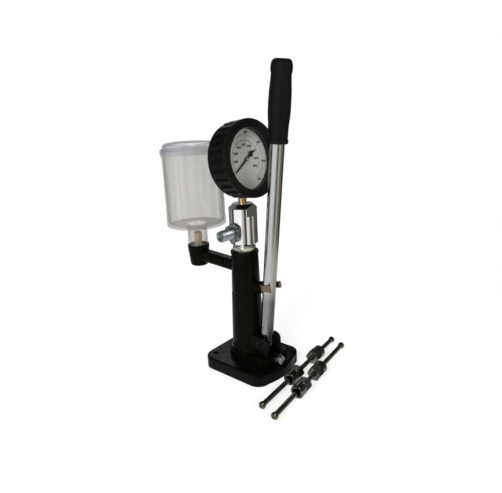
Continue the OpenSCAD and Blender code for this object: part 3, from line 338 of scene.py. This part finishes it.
def tube_metal():
    look = Look("tube_steel")
    look.set(Metallic=1.0)
    lean = look.stretched((90, 90, 2.2), (-TUBE_LEAN, 0, 0))
    drawn = look.noise(9, 6, 0.75, lean)
    body = look.ramp(drawn, (0.25, (0.36, 0.36, 0.36)), (0.75, (0.49, 0.492, 0.497)))
    film = look.spread(look.noise(14, 5, 0.6), 0.0, 0.4, 0.45, 0.8)
    body = look.blend(film, body, (0.25, 0.235, 0.2))
    # Painted shade and reflection: the tube's right-front side is painted brown
    shaded_side = look.facing(SHADED_SIDE, -0.1, 0.6)
    brown = look.maths("MULTIPLY", shaded_side, look.spread(film, 0.75, 1.0, 0, 0.4))
    body = look.blend(brown, body, (0.21, 0.185, 0.145))
    # Painted shade: darker below the clip, most on the browner side
    split = look.add("ShaderNodeSeparateXYZ")
    look.join(look.place, split.inputs[0])
    low_part = look.spread(split.outputs["Z"], 1, 0, *SHADED_HEIGHTS)
    low_shade = look.maths("MULTIPLY", low_part, look.spread(shaded_side, 0.5, 0.9, 0, 1))
    look.colour(look.blend(low_shade, body, (0.06, 0.057, 0.048)))
    look.roughness(look.spread(look.noise(45, 5), 0.15, 0.27))
    look.bump(drawn, 0.06, 0.0002)
    return look.material


def cast_lever():
    look = Look("cast_lever")
    look.set(Metallic=0.85)
    look.colour(look.ramp(look.noise(130, 5), (0.3, (0.11, 0.105, 0.09)), (0.7, (0.22, 0.21, 0.18))))
    look.roughness(look.spread(look.noise(200, 4), 0.4, 0.62))
    look.bump(look.noise(360, 4), 0.3, 0.0005)
    return look.material


def see_through(name, colour, alpha, edge_alpha, rough, streaks):
    """Thin clear plastic, denser where it is seen edge on, with soft streaks: partly moulding flow, partly
    painted highlight streaks.
    """
    look = Look(name)
    look.set(Roughness=rough, Specular_IOR_Level=0.6, IOR=1.49)
    # Lighter and darker streaks: partly moulding flow, partly painted highlight streaks
    streaks_and_glints = look.noise(12, 4, 0.6, look.stretched(streaks))
    light = tuple(min(1.0, c * 1.25) for c in colour)
    dark = tuple(c * 0.75 for c in colour)
    look.colour(look.ramp(streaks_and_glints, (0.3, dark), (0.7, light)))
    rim = look.add("ShaderNodeLayerWeight")
    rim.inputs["Blend"].default_value = 0.35
    cloud = look.spread(streaks_and_glints, -0.05, 0.07)
    cover = look.spread(rim.outputs["Facing"], alpha, edge_alpha, 0.3, 0.98)
    look.join(look.maths("ADD", cover, cloud), look.shader.inputs["Alpha"])
    look.bump(look.noise(30, 2), 0.05, 0.0005)
    return look.material


def felt():
    look = Look("filter_felt")
    look.colour(look.ramp(look.noise(420, 6, 0.7), (0.3, (0.55, 0.37, 0.24)), (0.7, (0.8, 0.62, 0.45))))
    look.set(Roughness=0.85)
    look.bump(look.cells(900), 0.5, 0.0005)
    return look.material


def dial_paint():
    look = Look("dial_paint")
    look.set(Roughness=0.45)
    look.colour(look.ramp(look.noise(45, 4), (0.3, (0.64, 0.655, 0.635)), (0.7, (0.73, 0.75, 0.735))))
    look.bump(look.noise(900, 2), 0.04, 0.0001)
    return look.material


def ink():
    look = Look("dial_ink")
    look.set(Roughness=0.5)
    look.colour(look.ramp(look.noise(800, 2), (0.3, (0.004, 0.004, 0.005)), (0.7, (0.012, 0.012, 0.012))))
    return look.material


def dark_enamel(name, rough):
    look = Look(name)
    look.set(Specular_IOR_Level=0.2)
    look.colour(look.ramp(look.noise(140, 4), (0.3, (0.004, 0.004, 0.0045)), (0.7, (0.009, 0.009, 0.0085))))
    look.roughness(look.spread(look.noise(160, 4), *rough))
    look.bump(look.noise(800, 2), 0.06, 0.0002)
    return look.material


def window_glass():
    look = Look("window_glass")
    look.set(IOR=1.5, Roughness=0.04, Specular_IOR_Level=0.5)
    look.colour(look.ramp(look.noise(30, 3), (0.3, (0.20, 0.21, 0.20)), (0.7, (0.30, 0.32, 0.33))))
    rim = look.add("ShaderNodeLayerWeight")
    rim.inputs["Blend"].default_value = 0.3
    haze = look.spread(look.noise(60, 5), 0.0, 0.025)
    cover = look.spread(rim.outputs["Facing"], 0.01, 0.2, 0.3, 1.0)
    look.join(look.maths("ADD", cover, haze), look.shader.inputs["Alpha"])
    return look.material


LOOKS = {
    "black_paint": black_paint(),
    "black_rubber": black_rubber(),
    "seal_rubber": seal_rubber(),
    "zinc": zinc(),
    "machined_steel": turned_metal("machined_steel", (0.38, 0.385, 0.39), (0.58, 0.585, 0.59), (0.2, 0.42)),
    "dark_steel": turned_metal("dark_steel", (0.015, 0.016, 0.017), (0.04, 0.04, 0.042), (0.3, 0.5)),
    "spring_steel": turned_metal("spring_steel", (0.16, 0.17, 0.18), (0.3, 0.31, 0.33), (0.25, 0.4)),
    "nut_zinc": turned_metal("nut_zinc", (0.5, 0.51, 0.45), (0.72, 0.73, 0.64), (0.2, 0.38),
                             stain=(0.4, 0.42, 0.3)),
    "chrome_head": turned_metal("chrome_head", (0.66, 0.665, 0.665), (0.8, 0.8, 0.795), (0.05, 0.14),
                                turning=(1, 1, 30), ring=0.02, stain=(0.62, 0.6, 0.55)),
    "tube_steel": tube_metal(),
    "cast_lever": cast_lever(),
    "brass": turned_metal("brass", (0.42, 0.26, 0.13), (0.72, 0.48, 0.26), (0.2, 0.38),
                          stain=(0.42, 0.24, 0.09)),
    "bronze": turned_metal("bronze", (0.12, 0.085, 0.065), (0.27, 0.2, 0.15), (0.3, 0.5),
                           stain=(0.09, 0.055, 0.035)),
    "copper": turned_metal("copper", (0.3, 0.13, 0.07), (0.55, 0.27, 0.16), (0.28, 0.5),
                           stain=(0.2, 0.1, 0.06)),
    "clear_plastic": see_through("clear_plastic", (0.37, 0.34, 0.285), 0.2, 0.75, 0.12, (9, 9, 0.5)),
    "lid_plastic": see_through("lid_plastic", (0.36, 0.375, 0.42), 0.2, 0.7, 0.2, (3, 3, 3)),
    "filter_felt": felt(),
    "window_glass": window_glass(),
    "dial_paint": dial_paint(),
    "dial_ink": ink(),
    "pointer_paint": dark_enamel("pointer_paint", (0.3, 0.45)),
    "case_paint": dark_enamel("case_paint", (0.25, 0.4)),
    "pipe_steel": pipe_metal(),
    "nut_steel": nut_metal(),
}


# The spring pin is ground flush with the tube and looks like it
FLUSH_PIN = "tube_pin"


def dress_cad_nodes():
    for name, piece in NODES.items():
        look = "tube_steel" if name == FLUSH_PIN else SLOT_OF[name]
        piece.data.materials.clear()
        piece.data.materials.append(LOOKS[look])


dress_cad_nodes()


# Pieces made here

def add_piece(name, mesh, slot, body, look=None):
    """A piece on a body, with its slot's look unless another is named."""
    piece = bpy.data.objects.new(name, mesh)
    bpy.context.scene.collection.objects.link(piece)
    mesh.materials.append(LOOKS[look or slot])
    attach(piece, body)
    return piece


def mesh_of(bm, name, smooth_angle=35):
    bmesh.ops.recalc_face_normals(bm, faces=bm.faces)
    mesh = bpy.data.meshes.new(name)
    bm.to_mesh(mesh)
    bm.free()
    mesh.shade_smooth()
    mesh.set_sharp_from_angle(angle=math.radians(smooth_angle))
    return mesh


def ring_angles(count):
    """Angles of as many points, evenly round a turn."""
    return [2 * math.pi * i / count for i in range(count)]


def skin(bm, rings):
    """Joins rings of points, each as long as the next, into a closed solid."""
    made = [[bm.verts.new(p) for p in ring] for ring in rings]
    count = len(made[0])
    for low, high in zip(made, made[1:]):
        for i in range(count):
            j = (i + 1) % count
            bm.faces.new((low[i], low[j], high[j], high[i]))
    bm.faces.new(list(reversed(made[0])))
    bm.faces.new(made[-1])


# Side outlet with a real thread, along -X

UNION_SIDES = 72
UNION_SPIGOT_R = 6 * MM
UNION_FLATS = 27 * MM
UNION_HEX = 8 * MM
UNION_BEVEL = 0.9 * MM
# Share of the corners' radius that the bevel leaves at the ends of the hexagon
UNION_BEVEL_LEFT = 0.93
# The groove between the hexagon and the thread, a little narrower at the thread
UNION_GROOVE = 1.6 * MM
UNION_GROOVE_R0 = 8.2 * MM
UNION_GROOVE_R1 = 8.0 * MM
UNION_THREAD_R = 9 * MM
UNION_PITCH = 1.5 * MM
UNION_DEPTH = 0.85 * MM
UNION_RINGS_PER_TURN = 8
# Above 2, the slope of the flanks leaves a flat crest
UNION_FLANK = 2.4
# How far below its full radius the thread starts and ends
UNION_RUN_IN = 1.0 * MM
UNION_RUN_OUT = 1.4 * MM
# Between the thread's last ring and the face of the mouth
UNION_END_GAP = 0.01 * MM
UNION_LIP = 1.2 * MM
UNION_MOUTH_R = 5.5 * MM
UNION_MOUTH_L = 6 * MM
UNION_BORE_R = 2 * MM
UNION_BORE_END = 0.5 * MM
UNION_SMOOTH_ANGLE = 28


def union_rings(start, axis_y, axis_z, low_x):
    """Rings of the union from its spigot, over the hexagon, out along the thread and back into the bore."""

    def ring(x, radius_at):
        points = []
        for angle in ring_angles(UNION_SIDES):
            radius = radius_at(angle)
            points.append((x, axis_y + radius * math.cos(angle), axis_z + radius * math.sin(angle)))
        return points

    def round_of(radius):
        return lambda angle: radius

    def hex_of(cap):
        def radius(angle):
            part = (angle + math.pi / 6) % (math.pi / 3) - math.pi / 6
            return min(UNION_FLATS / 2 / math.cos(part), cap)
        return radius

    def thread_of(x, limit):
        def radius(angle):
            turn = ((start - x) / UNION_PITCH - angle / (2 * math.pi)) % 1
            ridge = min(1.0, UNION_FLANK * abs(turn - 0.5))
            return min(UNION_THREAD_R - UNION_DEPTH * (1 - ridge), limit)
        return radius

    corner = UNION_FLATS / math.sqrt(3)
    bevelled = corner * UNION_BEVEL_LEFT
    hex_end = start - UNION_HEX
    rings = [
        ring(start, round_of(UNION_SPIGOT_R)),
        ring(start, hex_of(bevelled)),
        ring(start - UNION_BEVEL, hex_of(corner)),
        ring(hex_end + UNION_BEVEL, hex_of(corner)),
        ring(hex_end, hex_of(bevelled)),
        ring(hex_end, round_of(UNION_GROOVE_R0)),
    ]
    first = hex_end - UNION_GROOVE
    rings.append(ring(first, round_of(UNION_GROOVE_R1)))
    last = low_x + UNION_END_GAP
    steps = int((first - last) / (UNION_PITCH / UNION_RINGS_PER_TURN))
    for i in range(1, steps + 1):
        x = first - (first - last) * i / steps
        run_in = UNION_THREAD_R - UNION_RUN_IN + (first - x)
        run_out = UNION_THREAD_R - UNION_RUN_OUT + (x - last)
        rings.append(ring(x, thread_of(x, min(run_in, run_out))))
    rings.append(ring(low_x, round_of(UNION_MOUTH_R + UNION_LIP)))
    rings.append(ring(low_x, round_of(UNION_MOUTH_R)))
    rings.append(ring(low_x + UNION_MOUTH_L, round_of(UNION_BORE_R)))
    rings.append(ring(start - UNION_BORE_END, round_of(UNION_BORE_R)))
    return rings


def make_union():
    low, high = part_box("outlet_union")
    washer_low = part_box("outlet_washer")[0]
    centre = (low + high) / 2
    bm = bmesh.new()
    skin(bm, union_rings(washer_low.x, centre.y, centre.z, low.x))
    mesh = mesh_of(bm, "outlet_union_threaded", UNION_SMOOTH_ANGLE)
    piece = add_piece("outlet_union_threaded", mesh, "zinc", "stand")
    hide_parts("outlet_union")


make_union()


# Dial: ticks and plain numbers, printed on the dial plate

DIAL_ZERO = math.radians(216)
SCALE_SWEEP = math.radians(270)
OUTER_STEPS, OUTER_UNIT = 6, 100
INNER_LAST, INNER_UNIT = 8, 1000
INNER_STEP = math.radians(31.03)
TICKS_PER_STEP = 10
# In mm: where the long ticks start and their width, the same of the short ones, where all of them end, and
# the width of the arc there
OUTER_TICKS = ((33.5, 1.0), (36.0, 0.45), 37.6, 0.4)
INNER_TICKS = ((26.4, 0.7), (28.2, 0.35), 29.6, 0.35)
# In mm: distance of the numbers from the centre and their height
OUTER_NUMBERS = (41.3, 5.0)
INNER_NUMBERS = (22.3, 4.9)
# How much the strokes are thickened, as a share of the height
NUMBER_BOLD = 0.045
NUMBER_CURVE_STEPS = 3
ARC_STEPS = 96
DIAL_HALF_THICKNESS = 0.4 * MM
INK_LIFT = 0.06 * MM


def dial_matrix():
    """From the dial's own plane, x right, y up and z towards the operator, to the row frame."""
    low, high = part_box("dial_plate")
    normal = -Vector(JOINTS["pointer_turn"]["axis"]).normalized()
    right = Vector((0, 0, 1)).cross(normal).normalized()
    front = (low + high) / 2 + normal * (DIAL_HALF_THICKNESS + INK_LIFT)
    matrix = Matrix((right, normal.cross(right), normal)).transposed().to_4x4()
    return Matrix.Translation(front) @ matrix


def outwards(angle):
    """Unit vector in the dial's plane, from the centre."""
    return Vector((math.cos(angle), math.sin(angle), 0))


def add_tick(bm, angle, inner, outer, width):
    along = outwards(angle)
    across = Vector((-along.y, along.x, 0)) * width / 2
    sides = ((inner, -1), (outer, -1), (outer, 1), (inner, 1))
    bm.faces.new([bm.verts.new(along * radius + across * side) for radius, side in sides])


def add_arc(bm, radius, width, first, last):
    rows = []
    for i in range(ARC_STEPS + 1):
        along = outwards(first + (last - first) * i / ARC_STEPS)
        rows.append([bm.verts.new(along * (radius + side * width / 2)) for side in (-1, 1)])
    for (a, b), (c, d) in zip(rows, rows[1:]):
        bm.faces.new((a, b, d, c))


def add_number(bm, text, height, centre):
    curve = bpy.data.curves.new("number", "FONT")
    curve.body = text
    curve.size = height
    curve.align_x, curve.align_y = "CENTER", "CENTER"
    curve.resolution_u = NUMBER_CURVE_STEPS
    curve.offset = height * NUMBER_BOLD
    writer = bpy.data.objects.new("number", curve)
    bpy.context.scene.collection.objects.link(writer)
    bpy.context.view_layer.update()
    flat = writer.evaluated_get(bpy.context.evaluated_depsgraph_get()).to_mesh()
    made = [bm.verts.new(v.co + centre) for v in flat.vertices]
    for face in flat.polygons:
        bm.faces.new([made[i] for i in face.vertices])
    bpy.data.objects.remove(writer)
    bpy.data.curves.remove(curve)


def add_scale(bm, last, step, long_tick, short_tick, outer, line):
    """Ticks from zero, clockwise, closed by an arc; step is the angle between two numbers."""
    for i in range(last * TICKS_PER_STEP + 1):
        inner, width = long_tick if i % TICKS_PER_STEP == 0 else short_tick
        add_tick(bm, DIAL_ZERO - step * i / TICKS_PER_STEP, inner * MM, outer * MM, width * MM)
    add_arc(bm, outer * MM, line * MM, DIAL_ZERO, DIAL_ZERO - step * last)


def add_numbers(bm, first, last, unit, step, radius, height):
    for i in range(first, last + 1):
        add_number(bm, str(i * unit), height * MM, outwards(DIAL_ZERO - step * i) * radius * MM)


def make_dial_print():
    bm = bmesh.new()
    outer_step = SCALE_SWEEP / OUTER_STEPS
    add_scale(bm, OUTER_STEPS, outer_step, *OUTER_TICKS)
    add_numbers(bm, 0, OUTER_STEPS, OUTER_UNIT, outer_step, *OUTER_NUMBERS)
    add_scale(bm, INNER_LAST, INNER_STEP, *INNER_TICKS)
    add_numbers(bm, 1, INNER_LAST, INNER_UNIT, INNER_STEP, *INNER_NUMBERS)
    bm.transform(dial_matrix())
    add_piece("dial_print", mesh_of(bm, "dial_print"), "pointer_paint", "stand", "dial_ink")


make_dial_print()


# Cap pressed on the pointer's hub

# In mm: distance from the axis and height above the end of the pinion
HUB_OUTLINE = [(0.9, 0.1), (1.0, 0.5), (1.9, 0.55), (2.4, 0.25), (2.4, -0.35)]
HUB_SIDES = 40


def make_hub():
    matrix = dial_matrix()
    normal = matrix.col[2].xyz
    shaft = NODES["pointer_pinion"]
    end = max((shaft.matrix_world @ v.co - matrix.translation).dot(normal) for v in shaft.data.vertices)
    bm = bmesh.new()
    rings = []
    for radius, height in HUB_OUTLINE:
        lift = Vector((0, 0, end + height * MM))
        rings.append([outwards(angle) * radius * MM + lift for angle in ring_angles(HUB_SIDES)])
    skin(bm, rings)
    bm.transform(matrix)
    add_piece("pointer_hub", mesh_of(bm, "pointer_hub"), "machined_steel", "pointer")


make_hub()


# Springs as pieces of their own

def spring_that_shortens(node):
    """The node's own coil, copied into a piece of its own on the stand, with the node hidden."""
    mesh = NODES[node].data.copy()
    mesh.materials.clear()
    mesh.transform(NODES[node].matrix_world)
    piece = add_piece(node + "_coil", mesh, "spring_steel", "stand")
    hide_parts(node)
    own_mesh(piece)


spring_that_shortens("plunger_spring")
spring_that_shortens("valve_spring")


# Stage and light

FLOOR_REACH = 0.55
FLOOR_SIDES = 96
FLOOR_GAP = 0.2 * MM
FLOOR_COLOUR = (0.86, 0.86, 0.86, 1)
FLOOR_GLOW = 0.68
WHITE = (1, 1, 1, 1)


def make_floor():
    bm = bmesh.new()
    bmesh.ops.create_circle(bm, cap_ends=True, segments=FLOOR_SIDES, radius=FLOOR_REACH)
    mesh = bpy.data.meshes.new("floor")
    bm.to_mesh(mesh)
    bm.free()
    floor = bpy.data.objects.new("floor", mesh)
    bpy.context.scene.collection.objects.link(floor)
    floor.location = (0, 0, CAD_BOX[0].z - FLOOR_GAP)
    paper = bpy.data.materials.new("floor_paper")
    paper.use_nodes = True
    shader = paper.node_tree.nodes["Principled BSDF"]
    shader.inputs["Base Color"].default_value = FLOOR_COLOUR
    shader.inputs["Roughness"].default_value = 0.95
    shader.inputs["Specular IOR Level"].default_value = 0.1
    shader.inputs["Emission Color"].default_value = WHITE
    shader.inputs["Emission Strength"].default_value = FLOOR_GLOW
    mesh.materials.append(paper)


# Direction round the horizon, as a share of a turn from -X through -Y, brightness there, and its tint from
# cool at 0 to warm at 1
SOFTBOXES = [(0.0, 1.0, 0.0), (0.078, 1.0, 0.0), (0.09, 0.5, 0.0), (0.125, 0.5, 0.3), (0.137, 0.06, 1.0),
             (0.178, 0.06, 1.0), (0.19, 0.8, 0.8), (0.284, 0.8, 1.0), (0.292, 0.08, 1.0), (0.31, 0.08, 1.0),
             (0.32, 0.42, 1.0), (0.37, 0.42, 1.0), (0.38, 0.09, 1.0), (0.60, 0.09, 0.5), (0.62, 0.25, 0.0),
             (0.83, 0.25, 0.0), (0.845, 0.04, 0.0), (0.89, 0.04, 0.0), (0.902, 1.0, 0.0), (1.0, 1.0, 0.0)]
COOL = (0.97, 0.99, 1.0)
WARM = (1.0, 0.94, 0.84)
SOFTBOX_STRENGTH = 1.25
OVERHEAD = (0.07, 0.075, 0.085, 1)
# Heights of a direction, as the Z of its unit vector, between which the softboxes give way to the ceiling
CEILING_FROM, CEILING_TO = 0.4, 0.65


def tint(level, warmth):
    return tuple(level * (cool + (warm - cool) * warmth) for cool, warm in zip(COOL, WARM))


def make_world():
    """Softboxes round the horizon for the part, plain white for the camera."""
    world = bpy.data.worlds.new("studio")
    bpy.context.scene.world = world
    world.use_nodes = True
    tree = world.node_tree
    nodes, links = tree.nodes, tree.links
    nodes.clear()
    output = nodes.new("ShaderNodeOutputWorld")
    choose = nodes.new("ShaderNodeMixShader")
    seen = nodes.new("ShaderNodeBackground")
    seen.inputs["Color"].default_value = WHITE
    light = nodes.new("ShaderNodeBackground")
    light.inputs["Strength"].default_value = SOFTBOX_STRENGTH
    place = nodes.new("ShaderNodeTexCoord")
    split = nodes.new("ShaderNodeSeparateXYZ")
    links.new(place.outputs["Generated"], split.inputs[0])
    turn = nodes.new("ShaderNodeMath")
    turn.operation = "ARCTAN2"
    links.new(split.outputs["Y"], turn.inputs[0])
    links.new(split.outputs["X"], turn.inputs[1])
    share = nodes.new("ShaderNodeMapRange")
    share.inputs["From Min"].default_value = -math.pi
    share.inputs["From Max"].default_value = math.pi
    links.new(turn.outputs[0], share.inputs["Value"])
    ramp = nodes.new("ShaderNodeValToRGB")
    fill_ramp(ramp, [(position, tint(level, warmth)) for position, level, warmth in SOFTBOXES])
    links.new(share.outputs[0], ramp.inputs["Fac"])
    height = nodes.new("ShaderNodeMapRange")
    height.inputs["From Min"].default_value = CEILING_FROM
    height.inputs["From Max"].default_value = CEILING_TO
    links.new(split.outputs["Z"], height.inputs["Value"])
    top = nodes.new("ShaderNodeMix")
    top.data_type = "RGBA"
    top.inputs[MIX_SECOND].default_value = OVERHEAD
    links.new(height.outputs[0], top.inputs[MIX_SHARE])
    links.new(ramp.outputs["Color"], top.inputs[MIX_FIRST])
    links.new(top.outputs[MIX_RESULT], light.inputs["Color"])
    path = nodes.new("ShaderNodeLightPath")
    links.new(path.outputs["Is Camera Ray"], choose.inputs[0])
    links.new(light.outputs[0], choose.inputs[1])
    links.new(seen.outputs[0], choose.inputs[2])
    links.new(choose.outputs[0], output.inputs["Surface"])


LIGHTS = {
    "key": {"place": (-1.9, -0.6, 1.3), "aim": (0, 0, 0.25), "size": (0.7, 0.9), "watts": 14,
            "colour": (1, 1, 1)},
    "fill": {"place": (0.3, -2.0, 1.2), "aim": (0, 0, 0.25), "size": (0.9, 0.9), "watts": 7,
             "colour": (1.0, 0.97, 0.92)},
    "rim": {"place": (1.4, 1.5, 1.6), "aim": (0, 0, 0.3), "size": (0.8, 0.8), "watts": 8,
            "colour": (0.95, 0.98, 1.0)},
}


def add_light(name, place, aim, size, watts, colour):
    data = bpy.data.lights.new(name, "AREA")
    data.shape = "RECTANGLE"
    data.size, data.size_y = size
    data.energy = watts
    data.color = colour
    lamp = bpy.data.objects.new(name, data)
    bpy.context.scene.collection.objects.link(lamp)
    lamp.location = place
    lamp.rotation_euler = (Vector(aim) - Vector(place)).to_track_quat("-Z", "Y").to_euler()


make_floor()
make_world()
for name, settings in LIGHTS.items():
    add_light(name, **settings)
bpy.context.scene.view_settings.view_transform = "Standard"
